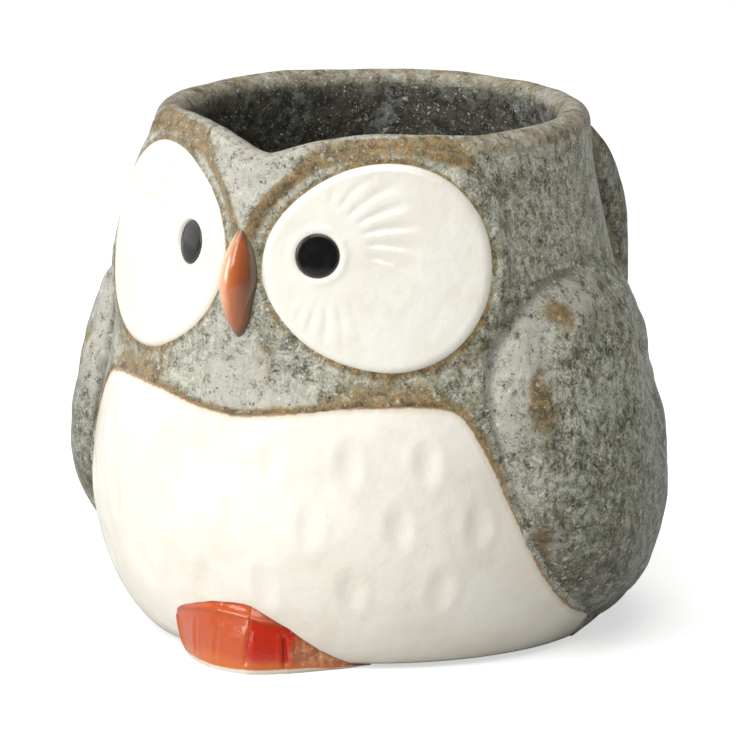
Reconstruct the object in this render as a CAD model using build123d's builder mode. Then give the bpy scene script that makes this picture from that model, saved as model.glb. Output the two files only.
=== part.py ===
"""Stoneware owl mug: a thrown cup with pads, discs and a strap handle luted on. Millimetres.

The owl looks towards -Y, +Z is up and the table is Z = 0. The owl's own left is +X.
Angles round the cup are in degrees from the beak, positive towards the owl's left.
"""
import os
from math import cos, exp, pi, radians, sin
from build123d import *

os.makedirs("parts", exist_ok=True)

# ---------------------------------------------------------------- cup
base_r = 36.3           # where the body meets the table
belly_r = 48.3          # widest radius of the body
belly_z = 25.0          # height of the widest radius
rim_r = 37.2            # outside radius under the rolled lip
rim_z = 90.2            # lip height at the sides and back
body_z0 = 0.8           # underside of the body, held up by the foot ring
wall = 4.9              # side wall
floor_z = 6.2           # inside floor
floor_r = 27.0          # flat part of the inside floor
lip_t = 5.6             # thickness across the rolled lip
lip_h = 2.7             # height of the lip rounding
notch_drop = 1.9        # dip in the lip over the beak
brow_rise = 0.9         # lift of the lip over each eye
nose_out = 5.2          # forward pinch of the wall between the eyes
cheek_out = 1.5         # swelling behind each eye disc
socket_in = 1.4         # flattening under each eye disc
bib_t = 1.5             # thickness of the white bib panel

# ---------------------------------------------------------------- pads and pieces
ring_r, ring_w, ring_z = 32.4, 4.2, 1.6        # unglazed foot ring
wing_a, wing_z, wing_lean = 102.0, 34.5, 0.35   # wing centre, and its forward lean with height
wing_da, wing_dz, wing_t = 44.0, 31.5, 5.2      # half width in degrees, half height, front thickness
eye_a, eye_z, eye_tilt = 31.5, 69.6, 9.2        # facing angle, centre height, upward tilt
eye_d, eye_back = 41.4, 35.4                    # front and hidden back of a disc, from the cup axis
eye_w, eye_h, eye_sag = 19.4, 17.9, 1.6         # half width, half height, sideways bow of the face
pupil_r, pupil_in, pupil_up = 3.75, 10.6, 1.6   # pupil radius, shift to the beak, shift up
pupil_ring, pupil_deep = 1.3, 1.1               # raised collar width, recess depth
beak_w, beak_len, beak_z, beak_out = 3.4, 22.6, 66.4, 5.0
strap_w, strap_t = 19.0, 9.4
dimple_w, dimple_h, dimple_d = 1.6, 3.2, 0.55
dimple_rows = ((35.9, (9.0, 25.0, 41.0)), (25.2, (0.0, 17.0, 35.0, 51.5)), (13.9, (7.0, 25.5, 44.0)))


def ease(u):
    """Smooth step from 0 to 1."""
    u = min(max(u, 0.0), 1.0)
    return u * u * (3 - 2 * u)


def bump(u):
    """Bell of height 1 at u = 0."""
    return exp(-u * u)


def off_beak(a):
    """Angle a brought into -180..180 degrees, without its sign."""
    return abs((a + 180.0) % 360.0 - 180.0)


def outer_r(a, z):
    """Outside radius of the body at angle a and height z."""
    if z < belly_z:
        r = base_r + (belly_r - base_r) * (1 - (1 - z / belly_z) ** 1.7) ** 0.625
    else:
        r = belly_r + (rim_r - belly_r) * ease((z - belly_z) / (rim_z - belly_z))
    d = off_beak(a)
    nose = nose_out * ease((z - 40) / 38) * exp(-((d / 13) ** 1.7))
    cheek = cheek_out * bump((z - 68) / 14) * bump((d - 62) / 20)
    socket = socket_in * ease((z - 36) / 22) * bump((d - 31) / 15)
    return r + nose + cheek - socket


def inner_r(a, z):
    """Inside radius at angle a and height z."""
    low = belly_z + 3
    top = rim_r - lip_t
    if z < low:
        r = floor_r + (belly_r - wall - floor_r) * (1 - (1 - (z - floor_z) / (low - floor_z)) ** 2.2) ** 0.5
    else:
        r = belly_r - wall + (top - belly_r + wall) * ease((z - low) / (rim_z - low))
    return r + 0.7 * nose_out * ease((z - 40) / 38) * exp(-((off_beak(a) / 15) ** 1.7))


def lip_z(a):
    """Height of the lip at angle a."""
    d = off_beak(a)
    return rim_z + brow_rise * bump((d - 35) / 20) - notch_drop * exp(-((d / 11) ** 1.5))


def on_cup(a, r, z):
    """Point at angle a, radius r and height z."""
    return Vector(r * sin(radians(a)), -r * cos(radians(a)), z)


def hoop(radius, height, step=10):
    """Closed smooth loop round the cup; radius and height are functions of the angle."""
    turns = range(0, 360 + step, step)
    points = [on_cup(180 + a, radius(180 + a), height(180 + a)) for a in turns[:-1]]
    return Wire([Edge.make_spline(points, periodic=True, parameters=[a / 360 for a in turns])])


def lip_hoop(turn):
    """Loop over the rolled lip: turn 0 is its outer side, 90 its top, 180 its inner side."""
    t = radians(turn)

    def radius(a):
        out, inn = outer_r(a, rim_z), inner_r(a, rim_z)
        return (out + inn) / 2 + (out - inn) / 2 * cos(t)

    return hoop(radius, lambda a: lip_z(a) - lip_h + lip_h * sin(t))


# ---------------------------------------------------------------- cup body, one skin from base to inside floor
outside = [body_z0, *range(4, 85, 4)]
inside = [*range(83, 10, -4), 8.2, 6.7]
hoops = [hoop(lambda a, z=z: outer_r(a, z), lambda a, z=z: z) for z in outside]
hoops += [lip_hoop(turn) for turn in range(0, 181, 45)]
hoops += [hoop(lambda a, z=z: inner_r(a, z), lambda a, z=z: z) for z in inside]
hoops += [hoop(lambda a: floor_r, lambda a: floor_z)]
raw_cup = Solid.make_loft(hoops)

# everything deeper than the bib, solid right through; pads are cut back to the cup with it
core = Solid.make_loft([hoop(lambda a, z=z: outer_r(a, z) - bib_t, lambda a, z=z: z) for z in range(0, 89, 4)])

# ---------------------------------------------------------------- white bib let into the front
with BuildPart() as bib_blank:
    with BuildSketch(Plane.XZ):
        with BuildLine():
            Spline((0, 43.9), (16, 45.9), (31.2, 46.1), tangents=((1, 0), (1, -0.1)))
            Spline((31.2, 46.1), (35.2, 44.2), (38.9, 37.2), tangents=((1, -0.1), (0.35, -1)))
            Spline((38.9, 37.2), (43.2, 23), (44.2, 10), (42.5, 0), tangents=((0.35, -1), (-0.3, -1)))
            Polyline((42.5, 0), (0, 0), (0, 43.9))
        make_face()
        mirror(about=Plane.YZ)
    extrude(amount=60)
    add(raw_cup, mode=Mode.INTERSECT)
    add(core, mode=Mode.SUBTRACT)
bib_skin = bib_blank.part

with BuildPart() as dimple:
    with BuildSketch(Plane.XZ):
        Ellipse(dimple_w, dimple_h)
        Rectangle(2 * dimple_w, 2 * dimple_h, align=(Align.MAX, Align.CENTER), mode=Mode.SUBTRACT)
    revolve(axis=Axis.Z)

with BuildPart() as belly_panel:
    add(bib_skin)
    for row_z, row in dimple_rows:
        for a in sorted({s * d for d in row for s in (-1, 1)}):
            at = on_cup(a, outer_r(a, row_z) + dimple_w - dimple_d, row_z)
            add(dimple.part.moved(Location(at)), mode=Mode.SUBTRACT)
belly_panel.part.label = "belly_panel"

with BuildPart() as cup_wall:
    add(raw_cup)
    add(bib_skin, mode=Mode.SUBTRACT)
cup_wall.part.label = "cup_wall"

# ---------------------------------------------------------------- unglazed foot ring
with BuildPart() as foot_ring:
    with BuildSketch(Plane.XZ):
        with Locations((ring_r, ring_z / 2)):
            Trapezoid(ring_w + 1.0, ring_z, 72, rotation=180)
    revolve(axis=Axis.Z)
    add(raw_cup, mode=Mode.SUBTRACT)
foot_ring.part.label = "foot_ring"


# ---------------------------------------------------------------- wings
def wing_loop(z):
    """Closed section of the wing pad at height z; past its edge it sinks into the wall."""
    v = (z - wing_z) / wing_dz
    mid = wing_a - wing_lean * (z - wing_z)
    half = wing_da * max(1 - abs(v) ** 2.4, 0.0) ** (1 / 2.4) + 5
    skin, back = [], []
    steps = [(1 - cos(pi * k / 14)) / 2 for k in range(15)]
    for s in steps:
        a = mid + half * (2 * s - 1)
        edge = (abs(v) ** 2.4 + (abs(a - mid) / wing_da) ** 2.4) ** (1 / 2.4)
        full = wing_t * (1 - 0.62 * ease((a - 66) / 66))
        rise = full * (1 - edge**6) if edge < 1 else -12 * (edge - 1)
        skin.append(on_cup(a, outer_r(a, z) + max(rise, -1.2), z))
        back.append(on_cup(a, outer_r(a, z) - 2.6, z))
    front, rear = Edge.make_spline(skin, parameters=steps), Edge.make_spline(back[::-1], parameters=steps)
    return Wire([front, Edge.make_line(skin[-1], back[-1]), rear, Edge.make_line(back[0], skin[0])])


with BuildPart() as left_wing:
    add(Solid.make_loft([wing_loop(wing_z + k * (wing_dz + 1.5) / 12) for k in range(-12, 13)]))
    add(raw_cup, mode=Mode.SUBTRACT)
    add(belly_panel.part, mode=Mode.SUBTRACT)
    add(core, mode=Mode.SUBTRACT)
left_wing.part.label = "left_wing"

with BuildPart() as right_wing:
    mirror(left_wing.part, about=Plane.YZ)
right_wing.part.label = "right_wing"

# ---------------------------------------------------------------- eye discs and pupils
facing = Vector(
    sin(radians(eye_a)) * cos(radians(eye_tilt)), -cos(radians(eye_a)) * cos(radians(eye_tilt)), sin(radians(eye_tilt))
)
eye_plane = Plane(
    origin=on_cup(eye_a, eye_d, eye_z) - facing * (eye_d - eye_back),
    x_dir=(cos(radians(eye_a)), sin(radians(eye_a)), 0),
    z_dir=facing,
)
eye_deep = eye_d - eye_back
bow_r = (eye_w**2 + eye_sag**2) / (2 * eye_sag)

with BuildPart() as eye_blank:
    with BuildSketch(eye_plane):
        with BuildLine():
            Spline(
                *[
                    (eye_w * cos(t) + 0.4, eye_h * sin(t) * (1 + 0.1 * cos(t)))
                    for t in [pi * k / 8 for k in range(16)]
                ],
                periodic=True,
            )
        make_face()
    extrude(amount=eye_deep)
    with Locations(eye_plane.location * Location((0, 0, eye_deep - bow_r), (90, 0, 0))):
        Cylinder(bow_r, 3 * eye_h, mode=Mode.INTERSECT)
    fillet(eye_blank.faces().sort_by(Axis(eye_plane.origin, eye_plane.z_dir))[-1].edges(), 1.3)
eye_top = eye_deep - eye_sag * (pupil_in / eye_w) ** 2
seat = eye_top + 0.5 - pupil_deep
pupil_at = eye_plane.location * Pos(-pupil_in, pupil_up, 0)

with BuildPart() as left_eye_disc:
    add(eye_blank.part)
    with Locations(pupil_at * Pos(0, 0, eye_top - 0.1)):
        Torus(pupil_r + 0.5, pupil_ring / 2)
    with Locations(pupil_at * Pos(0, 0, seat + 2)):
        Cylinder(pupil_r, 4, mode=Mode.SUBTRACT)
    add(raw_cup, mode=Mode.SUBTRACT)
    add(core, mode=Mode.SUBTRACT)
left_eye_disc.part.label = "left_eye_disc"

with BuildPart() as left_pupil:
    with Locations(pupil_at * Pos(0, 0, seat + pupil_deep / 2)):
        Cylinder(pupil_r, pupil_deep)
    fillet(left_pupil.edges().filter_by(GeomType.CIRCLE).sort_by(Axis(eye_plane.origin, eye_plane.z_dir))[-1], 0.5)
left_pupil.part.label = "left_pupil"

with BuildPart() as right_eye_disc:
    mirror(left_eye_disc.part, about=Plane.YZ)
right_eye_disc.part.label = "right_eye_disc"

with BuildPart() as right_pupil:
    mirror(left_pupil.part, about=Plane.YZ)
right_pupil.part.label = "right_pupil"

# ---------------------------------------------------------------- beak
beak_root = outer_r(0, beak_z) - 2.2

with BuildPart() as beak_blank:
    with BuildSketch(Plane.XZ):
        with BuildLine():
            ThreePointArc((0, -beak_len / 2), (beak_w, 0), (0, beak_len / 2))
            Line((0, beak_len / 2), (0, -beak_len / 2))
        make_face()
    revolve(axis=Axis.Z)
    scale(by=(1, (beak_out + 2.2) / beak_w, 1))

with BuildPart() as beak:
    add(beak_blank.part.moved(Location((0, -beak_root, beak_z))))
    add(raw_cup, mode=Mode.SUBTRACT)
    add(core, mode=Mode.SUBTRACT)
beak.part.label = "beak"

# ---------------------------------------------------------------- feet: one crescent ledge split at the middle
# half of its outline on the table and of its arched top, from the middle outwards
toe_line = ((0, -49.4), (5, -48.0), (9, -44.2), (12.3, -39.8), (15.0, -35.6), (17.0, -30.5))
toe_arch = ((0, 10.6), (6, 10.2), (10.5, 8.8), (14, 6.4), (16.4, 3.2), (17.6, -1.0))
toe_nicks = ((8.3, -45.0, 43), (13.2, -38.5, 57))       # x, y and facing angle of each nick

with BuildPart() as left_foot:
    with BuildSketch():
        with BuildLine():
            Spline(*toe_line, tangents=((1, 0), (0.3, 1)))
            Polyline(toe_line[-1], (0, toe_line[-1][1]), toe_line[0])
        make_face()
        mirror(about=Plane.YZ)
    extrude(amount=12)
    with BuildSketch(Plane.XZ):
        with BuildLine():
            Spline(*toe_arch, tangents=((1, 0), (0.2, -1)))
            Polyline(toe_arch[-1], (0, toe_arch[-1][1]), toe_arch[0])
        make_face()
        mirror(about=Plane.YZ)
    extrude(amount=60, mode=Mode.INTERSECT)
    top_edge = left_foot.faces().sort_by(Axis.Z)[-1].edges().sort_by(Axis.Y)[0]
    fillet(top_edge, 1.2)
    for x, y, turn in toe_nicks:
        with Locations(Location((x, y, 0), (0, 0, turn))):
            Box(0.9, 2.2, 30, mode=Mode.SUBTRACT)
    split(bisect_by=Plane.YZ, keep=Keep.TOP)
    add(raw_cup, mode=Mode.SUBTRACT)
    add(core, mode=Mode.SUBTRACT)
left_foot.part.label = "left_foot"

with BuildPart() as right_foot:
    mirror(left_foot.part, about=Plane.YZ)
right_foot.part.label = "right_foot"

# ---------------------------------------------------------------- strap handle
with BuildPart() as handle:
    with BuildLine():
        spine = Spline(
            (0, 35.0, 78.2), (0, 51, 77.8), (0, 63.5, 73), (0, 71.2, 64), (0, 73.8, 53),
            (0, 71.8, 42.5), (0, 64.0, 32.5), (0, 45, 22),
            tangents=((0, 1, 0.1), (0, -1, -0.55)),
        )
    with BuildSketch(Plane(spine @ 0, x_dir=(1, 0, 0), z_dir=spine % 0)):
        RectangleRounded(strap_w, strap_t, strap_t * 0.42)
    sweep()
    add(raw_cup, mode=Mode.SUBTRACT)
    add(core, mode=Mode.SUBTRACT)
handle.part.label = "handle"

for piece in (
    cup_wall, foot_ring, handle, belly_panel, left_wing, right_wing, left_eye_disc, right_eye_disc,
    left_pupil, right_pupil, beak, left_foot, right_foot,
):
    export_step(piece.part, f"parts/{piece.part.label}.step")
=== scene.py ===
from math import cos, pi, radians, sin

import bmesh
import bpy
import numpy as np
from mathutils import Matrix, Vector


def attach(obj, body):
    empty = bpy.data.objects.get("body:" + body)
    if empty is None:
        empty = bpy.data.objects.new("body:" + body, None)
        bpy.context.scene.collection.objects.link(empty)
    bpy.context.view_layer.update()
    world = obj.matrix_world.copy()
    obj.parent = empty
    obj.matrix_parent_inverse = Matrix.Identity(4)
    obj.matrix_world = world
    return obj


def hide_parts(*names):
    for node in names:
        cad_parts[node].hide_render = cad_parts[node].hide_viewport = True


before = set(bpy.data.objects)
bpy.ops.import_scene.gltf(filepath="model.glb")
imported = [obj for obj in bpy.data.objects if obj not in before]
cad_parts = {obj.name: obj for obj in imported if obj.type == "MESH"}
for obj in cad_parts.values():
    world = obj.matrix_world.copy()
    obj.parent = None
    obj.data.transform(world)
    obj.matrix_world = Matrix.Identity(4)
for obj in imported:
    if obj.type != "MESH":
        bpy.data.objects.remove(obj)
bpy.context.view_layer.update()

# ==================================================================== cup
# One thrown stoneware wall from the foot, over a rolled lip, to the inside floor. It is pinched
# forward between the eyes, pressed flat where the eye discs sit and glazed all over with a
# speckled ash grey that runs rusty where it is thin. Sizes are in millimetres.
MM = 0.001
BASE_R, BELLY_R, BELLY_Z = 36.3, 48.3, 25.0
RIM_R, RIM_Z, LIP_T, LIP_H = 37.2, 90.2, 5.6, 2.7
UNDER_Z, WALL, FLOOR_Z, FLOOR_R = 0.8, 4.9, 6.2, 27.0
NOSE, CHEEK, SOCKET = 5.2, 1.5, 1.4
NOTCH, NOTCH_A, BROW = 2.3, 3.0, 0.9
FRONT_STEP, BACK_STEP = 0.62, 1.6


def ease(u):
    """Smooth step from 0 to 1: 3u^2 - 2u^3 with u held between 0 and 1."""
    u = np.clip(u, 0.0, 1.0)
    return u * u * (3 - 2 * u)


def bell(u):
    """Bell of height 1 at u = 0: exp(-u^2)."""
    return np.exp(-np.square(u))


def off_beak(a):
    """Angle brought into -180..180 degrees and made positive: how far round from the beak."""
    return np.abs((a + 180.0) % 360.0 - 180.0)


def outer_r(a, z):
    """Outside radius: a belly that swells from the base as a rounded power curve and draws in to the
    rim by a smooth step, plus the pinch over the beak, the cheeks and less the eye sockets."""
    low = BASE_R + (BELLY_R - BASE_R) * (1 - np.clip(1 - z / BELLY_Z, 0, 1) ** 1.7) ** 0.625
    high = BELLY_R + (RIM_R - BELLY_R) * ease((z - BELLY_Z) / (RIM_Z - BELLY_Z))
    d = off_beak(a)
    nose = NOSE * ease((z - 40) / 38) * np.exp(-((d / 13) ** 1.7))
    cheek = CHEEK * bell((z - 68) / 14) * bell((d - 62) / 20)
    socket = SOCKET * ease((z - 36) / 22) * bell((d - 31) / 15)
    return np.where(z < BELLY_Z, low, high) + nose + cheek - socket


def inner_r(a, z):
    """Inside radius: a bowl that opens from the flat floor and then follows the wall to the lip."""
    turn = BELLY_Z + 3
    u = np.clip((z - FLOOR_Z) / (turn - FLOOR_Z), 0, 1)
    low = FLOOR_R + (BELLY_R - WALL - FLOOR_R) * (1 - (1 - u) ** 2.2) ** 0.5
    top = RIM_R - LIP_T
    high = BELLY_R - WALL + (top - BELLY_R + WALL) * ease((z - turn) / (RIM_Z - turn))
    nose = 0.7 * NOSE * ease((z - 40) / 38) * np.exp(-((off_beak(a) / 15) ** 1.7))
    return np.where(z < turn, low, high) + nose


def lip_z(a):
    """Height of the lip: level at the back, lifted over each eye and dipped over the beak."""
    d = off_beak(a)
    return RIM_Z + BROW * bell((d - 35) / 20) - NOTCH * np.exp(-((off_beak(a - NOTCH_A) / 9) ** 1.4))


def on_cup(a, r, z):
    """Points at angle a (degrees), radius r and height z."""
    t = np.radians(a)
    return np.stack(np.broadcast_arrays(r * np.sin(t), -r * np.cos(t), z), -1).astype(float)


def lattice(P, cell, seed):
    """Smooth value noise, -1 to 1: random numbers at the corners of cubes, blended by smooth steps."""
    table = np.random.default_rng(seed).uniform(-1, 1, (32, 32, 32))
    q = P / cell + 400.37
    i = np.floor(q).astype(int)
    f = ease(q - i)
    total = 0.0
    for corner in range(8):
        o = np.array([corner >> 2 & 1, corner >> 1 & 1, corner & 1])
        j = (i + o) % 32
        total = total + table[j[..., 0], j[..., 1], j[..., 2]] * np.prod(np.where(o, f, 1 - f), -1)
    return total


def lift(P, h, wrap=True):
    """Move a grid of points by h along its own normal, the cross product of its two directions."""
    du = (np.roll(P, -1, 1) - np.roll(P, 1, 1)) if wrap else np.gradient(P, axis=1)
    n = np.cross(du, np.gradient(P, axis=0))
    n /= np.maximum(np.linalg.norm(n, axis=-1, keepdims=True), 1e-9)
    return P + n * h[..., None]


def skin(name, P, wrap=True, caps=(False, False)):
    """Mesh from a grid of points in mm, rows by columns. wrap joins the last column to the first;
    caps closes the first and the last row with a fan to its middle. Faces are turned outwards."""
    rows, cols = P.shape[:2]
    k = np.arange(rows * cols).reshape(rows, cols)
    here, right = (k, np.roll(k, -1, 1)) if wrap else (k[:, :-1], k[:, 1:])
    faces = np.stack([here[:-1], right[:-1], right[1:], here[1:]], -1).reshape(-1, 4).tolist()
    points = P.reshape(-1, 3)
    for cap, row in zip(caps, (0, rows - 1)):
        if cap:
            points = np.vstack([points, P[row].mean(0)])
            ring = np.stack([k[row], np.roll(k[row], -1), np.full(cols, len(points) - 1)], -1)
            faces += ring.tolist() if row else ring[:, ::-1].tolist()
    mesh = bpy.data.meshes.new(name)
    mesh.from_pydata((points * MM).tolist(), [], faces)
    work = bmesh.new()
    work.from_mesh(mesh)
    bmesh.ops.recalc_face_normals(work, faces=work.faces)
    work.to_mesh(mesh)
    work.free()
    mesh.polygons.foreach_set("use_smooth", [True] * len(mesh.polygons))
    piece = bpy.data.objects.new(name, mesh)
    bpy.context.scene.collection.objects.link(piece)
    return piece


def paint(piece, name, rule):
    """Store rule(points in mm) on the vertices as a named value the glaze can read."""
    co = np.empty(len(piece.data.vertices) * 3)
    piece.data.vertices.foreach_get("co", co)
    layer = piece.data.attributes.new(name, "FLOAT", "POINT")
    layer.data.foreach_set("value", np.asarray(rule(co.reshape(-1, 3) / MM), np.float32))


def round_cup(P):
    """Angle from the beak, signed, in degrees, and height, of points in mm."""
    return np.degrees(np.arctan2(P[:, 0], -P[:, 1])), P[:, 2]


# one half of the bib's outline, as across and up seen from the front, and the radius it is unrolled at
BIB = np.array([(0, 43.9), (8, 44.7), (16, 45.9), (24, 46.3), (31.2, 46.1), (35.2, 44.2), (38.9, 37.2),
                (41.4, 30), (43.2, 23), (44.2, 14), (44.0, 8), (42.9, 3), (42.5, -4)])
BIB_FLAT = 46.0


def along(points, count):
    """Smooth curve through points: cubic pieces whose slopes are half the step between neighbours."""
    p = np.vstack([2 * points[0] - points[1], points, 2 * points[-1] - points[-2]])
    s = np.linspace(0, len(points) - 1 - 1e-9, count)
    i = s.astype(int)
    f = (s - i)[:, None]
    a, b, c, d = p[i], p[i + 1], p[i + 2], p[i + 3]
    bend, twist = 2 * a - 5 * b + 4 * c - d, 3 * b - a - 3 * c + d
    return 0.5 * (2 * b + (c - a) * f + bend * f**2 + twist * f**3)


def in_bib(a, z):
    """Distance inside the bib's outline, in mm, negative outside it: the nearest of its short straight
    runs on the unrolled cup, with the side from the sign of a cross product."""
    edge = along(BIB, 160)
    radius = outer_r(20.0, np.clip(edge[:, 1], 1, 90)) + 0.8
    edge = np.stack([np.arcsin(np.clip(edge[:, 0] / radius, 0, 1)) * BIB_FLAT, edge[:, 1]], -1)
    p = np.stack([np.radians(off_beak(a)) * BIB_FLAT, z], -1)
    shape = p.shape[:-1]
    p = p.reshape(-1, 2)
    span = np.roll(edge, -1, 0)[:-1] - edge[:-1]
    best, side = np.full(len(p), 1e9), np.zeros(len(p))
    for start, step in zip(edge[:-1], span):
        t = np.clip(((p - start) @ step) / (step @ step), 0, 1)
        off = p - start - t[:, None] * step
        dist = np.hypot(off[:, 0], off[:, 1])
        near = dist < best
        best = np.where(near, dist, best)
        side = np.where(near, np.sign(step[1] * off[:, 0] - step[0] * off[:, 1]), side)
    return (best * np.where(side > 0, 1, -1)).reshape(shape)


# each eye disc stands on a plane turned out from the beak and tipped up a little; its outline is an
# oval, EYE_EGG fuller away from the beak, with its middle EYE_OFF across from the plane's own
EYE_A, EYE_Z, EYE_TILT, EYE_D, EYE_IN = 31.5, 69.6, 9.2, 41.4, 0.7
EYE_W, EYE_H, EYE_BOW, EYE_EGG, EYE_OFF = 19.5, 17.6, 1.6, 0.1, 0.4
turn_out, tip_up = radians(EYE_A), radians(EYE_TILT)
EYE_N = np.array([sin(turn_out) * cos(tip_up), -cos(turn_out) * cos(tip_up), sin(tip_up)])
EYE_X = np.array([cos(turn_out), sin(turn_out), 0.0])
EYE_Y = np.cross(EYE_N, EYE_X)
EYE_C = np.array([EYE_D * sin(turn_out), -EYE_D * cos(turn_out), EYE_Z]) - EYE_IN * EYE_X


def on_eye(P):
    """Points on the nearest eye's own axes: across away from the beak, up, and out of its plane."""
    q = np.concatenate([np.abs(P[:, :1]), P[:, 1:]], 1) - EYE_C
    return q @ EYE_X, q @ EYE_Y, q @ EYE_N


def off_eye(P):
    """Distance outside the nearest eye disc's outline and the direction round it, 0 away from the beak."""
    x, y, _ = on_eye(P)
    x = x - EYE_OFF
    t = np.arctan2(y / EYE_H, x / EYE_W)
    rho = np.hypot(x / EYE_W, y / (EYE_H * (1 + EYE_EGG * np.cos(t))))
    return (rho - 1) * 0.5 * (EYE_W + EYE_H), t


def eye_sunk(P):
    """Depth below the bowed face of the nearest eye disc, carried on past its outline."""
    x, _, out = on_eye(P)
    return -out - EYE_BOW * np.clip(x / EYE_W, -1, 1) ** 2


# columns of the cup, closer together round the front, and the height where the lip's roll starts
A = np.concatenate([np.arange(-100, 100, FRONT_STEP), np.arange(100, 260, BACK_STEP)])[None, :]
top = lip_z(A) - LIP_H
UNDER = ((8, 1.6), (20, 1.5), (28, 1.2), (33, UNDER_Z), (35.6, UNDER_Z))
WALL_ROWS = 150


def cup_grid():
    """Rows of loops: underside, outer wall in even steps, half ellipse over the lip, inner wall, floor."""
    under = [on_cup(A, r + 0 * A, z + 0 * A) for r, z in UNDER]
    s = np.linspace(0, 1, WALL_ROWS)[:, None]
    z = UNDER_Z + 0.5 + s * (top - UNDER_Z - 0.5)
    wall = on_cup(A, outer_r(A, z), z)
    t = np.radians(np.linspace(8, 172, 17))[:, None]
    out, inn = outer_r(A, RIM_Z + 0 * A), inner_r(A, RIM_Z + 0 * A)
    lip = on_cup(A, (out + inn) / 2 + (out - inn) / 2 * np.cos(t), top + LIP_H * np.sin(t))
    z = FLOOR_Z + 0.3 + np.linspace(1, 0, 46)[:, None] ** 1.15 * (top - FLOOR_Z - 0.3)
    inside = on_cup(A, inner_r(A, z), z)
    floor = [on_cup(A, r + 0 * A, FLOOR_Z + 0 * A) for r in (24, 16, 8)]
    return np.vstack([*under, wall, lip, inside, *floor])


P = cup_grid()
flat = P.reshape(-1, 3)
a, z = round_cup(flat)
outside = np.zeros(P.shape[:2], bool)
outside[len(UNDER):len(UNDER) + WALL_ROWS] = True
outside = outside.reshape(-1)
# relief in mm: finger marks, a brow line over each eye, clay drawn up to the disc's edge, and a pocket
# for the bib with a low bank along it
POCKET, BANK, BROW_LINE = 1.5, 0.25, 0.85
bib = in_bib(a, z) + 0.35 * lattice(flat, 2.6, 3) + 0.22 * lattice(flat, 1.1, 4)
eye, eye_t = off_eye(flat)
work_marks = 0.30 * lattice(flat, 11.0, 1) + 0.14 * lattice(flat, 4.6, 2)
brow_line = BROW_LINE * bell((eye - 3.9) / 1.5) * ease((np.sin(eye_t - 0.25) + 0.35) / 0.7)
pocket = ease((bib + 0.55) / 1.1)
bank = BANK * (1 - pocket) * ease((bib + 4) / 3)
fill = np.clip(eye_sunk(flat) - 0.75, 0, 2.2) * ease((4.2 - eye) / 3.6) * ease((eye + 2.5) / 1.5)
h = work_marks * (1 - 0.8 * outside * pocket)
h += outside * (brow_line * (z > 50) + bank - POCKET * pocket + fill * (z > 46))
h *= ease(np.hypot(flat[:, 0], flat[:, 1]) / 30 - 0.3)
cup = skin("cup", lift(P, h.reshape(P.shape[:2])), caps=(True, True))


def put(tree, kind, props=(), **inputs):
    """Add a node. props sets its settings; inputs go in by socket name (spaces as _) or as i0, i1 by
    number; a socket given as a value is linked."""
    n = tree.nodes.new(kind)
    for key, value in dict(props).items():
        setattr(n, key, value)
    for key, value in inputs.items():
        by_number = key[0] == "i" and key[1:].isdigit()
        socket = n.inputs[int(key[1:]) if by_number else key.replace("_", " ")]
        if isinstance(value, bpy.types.NodeSocket):
            tree.links.new(value, socket)
        else:
            socket.default_value = value
    return n


def calc(tree, op, a, b=0.0, c=0.0, clamp=False):
    """One sum on values."""
    return put(tree, "ShaderNodeMath", {"operation": op, "use_clamp": clamp}, i0=a, i1=b, i2=c).outputs[0]


def times(tree, a, b):
    """Product of two values."""
    return calc(tree, "MULTIPLY", a, b)


def ragged(tree, edge, cloud, by):
    """A value made uneven, so that a mask cut from it wanders: edge + by (cloud - 1/2)."""
    return calc(tree, "ADD", edge, calc(tree, "MULTIPLY_ADD", cloud, by, -0.5 * by))


def spot(tree):
    """The piece's own Object coordinates, in metres."""
    return put(tree, "ShaderNodeTexCoord").outputs["Object"]


def in_mm(tree, place):
    """A position in millimetres."""
    return put(tree, "ShaderNodeVectorMath", {"operation": "SCALE"}, i0=place, Scale=1 / MM).outputs[0]


def step_mask(tree, value, low, high):
    """0 below low, 1 above high and smooth between; low above high turns it round."""
    n = put(tree, "ShaderNodeMapRange", {"interpolation_type": "SMOOTHSTEP"}, Value=value)
    n.inputs["From Min"].default_value, n.inputs["From Max"].default_value = min(low, high), max(low, high)
    n.inputs["To Min"].default_value, n.inputs["To Max"].default_value = (0, 1) if low < high else (1, 0)
    return n.outputs["Result"]


def blend(tree, mask, first, second):
    """Colour first where mask is 0 and second where it is 1."""
    n = put(tree, "ShaderNodeMix", {"data_type": "RGBA"}, i0=mask)
    for value, k in ((first, 6), (second, 7)):
        if isinstance(value, bpy.types.NodeSocket):
            tree.links.new(value, n.inputs[k])
        else:
            n.inputs[k].default_value = (*value, 1)
    return n.outputs[2]


def noise(tree, v, scale, detail=3.0, rough=0.55, distort=0.0):
    """Cloudy value: scale is the number of clouds in one unit of v."""
    n = put(tree, "ShaderNodeTexNoise", Vector=v, Scale=scale, Detail=detail, Roughness=rough)
    n.inputs["Distortion"].default_value = distort
    return n.outputs["Fac"]


def dots(tree, v, scale, size, share):
    """Scattered round dots: cells per mm, dot radius as a share of a cell, and share of cells filled."""
    n = put(tree, "ShaderNodeTexVoronoi", Vector=v, Scale=scale)
    pick = put(tree, "ShaderNodeSeparateColor", Color=n.outputs["Color"]).outputs[0]
    dot = step_mask(tree, n.outputs["Distance"], size, size * 0.45)
    return times(tree, dot, step_mask(tree, pick, 1 - share, 1 - share + 0.08))


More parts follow.
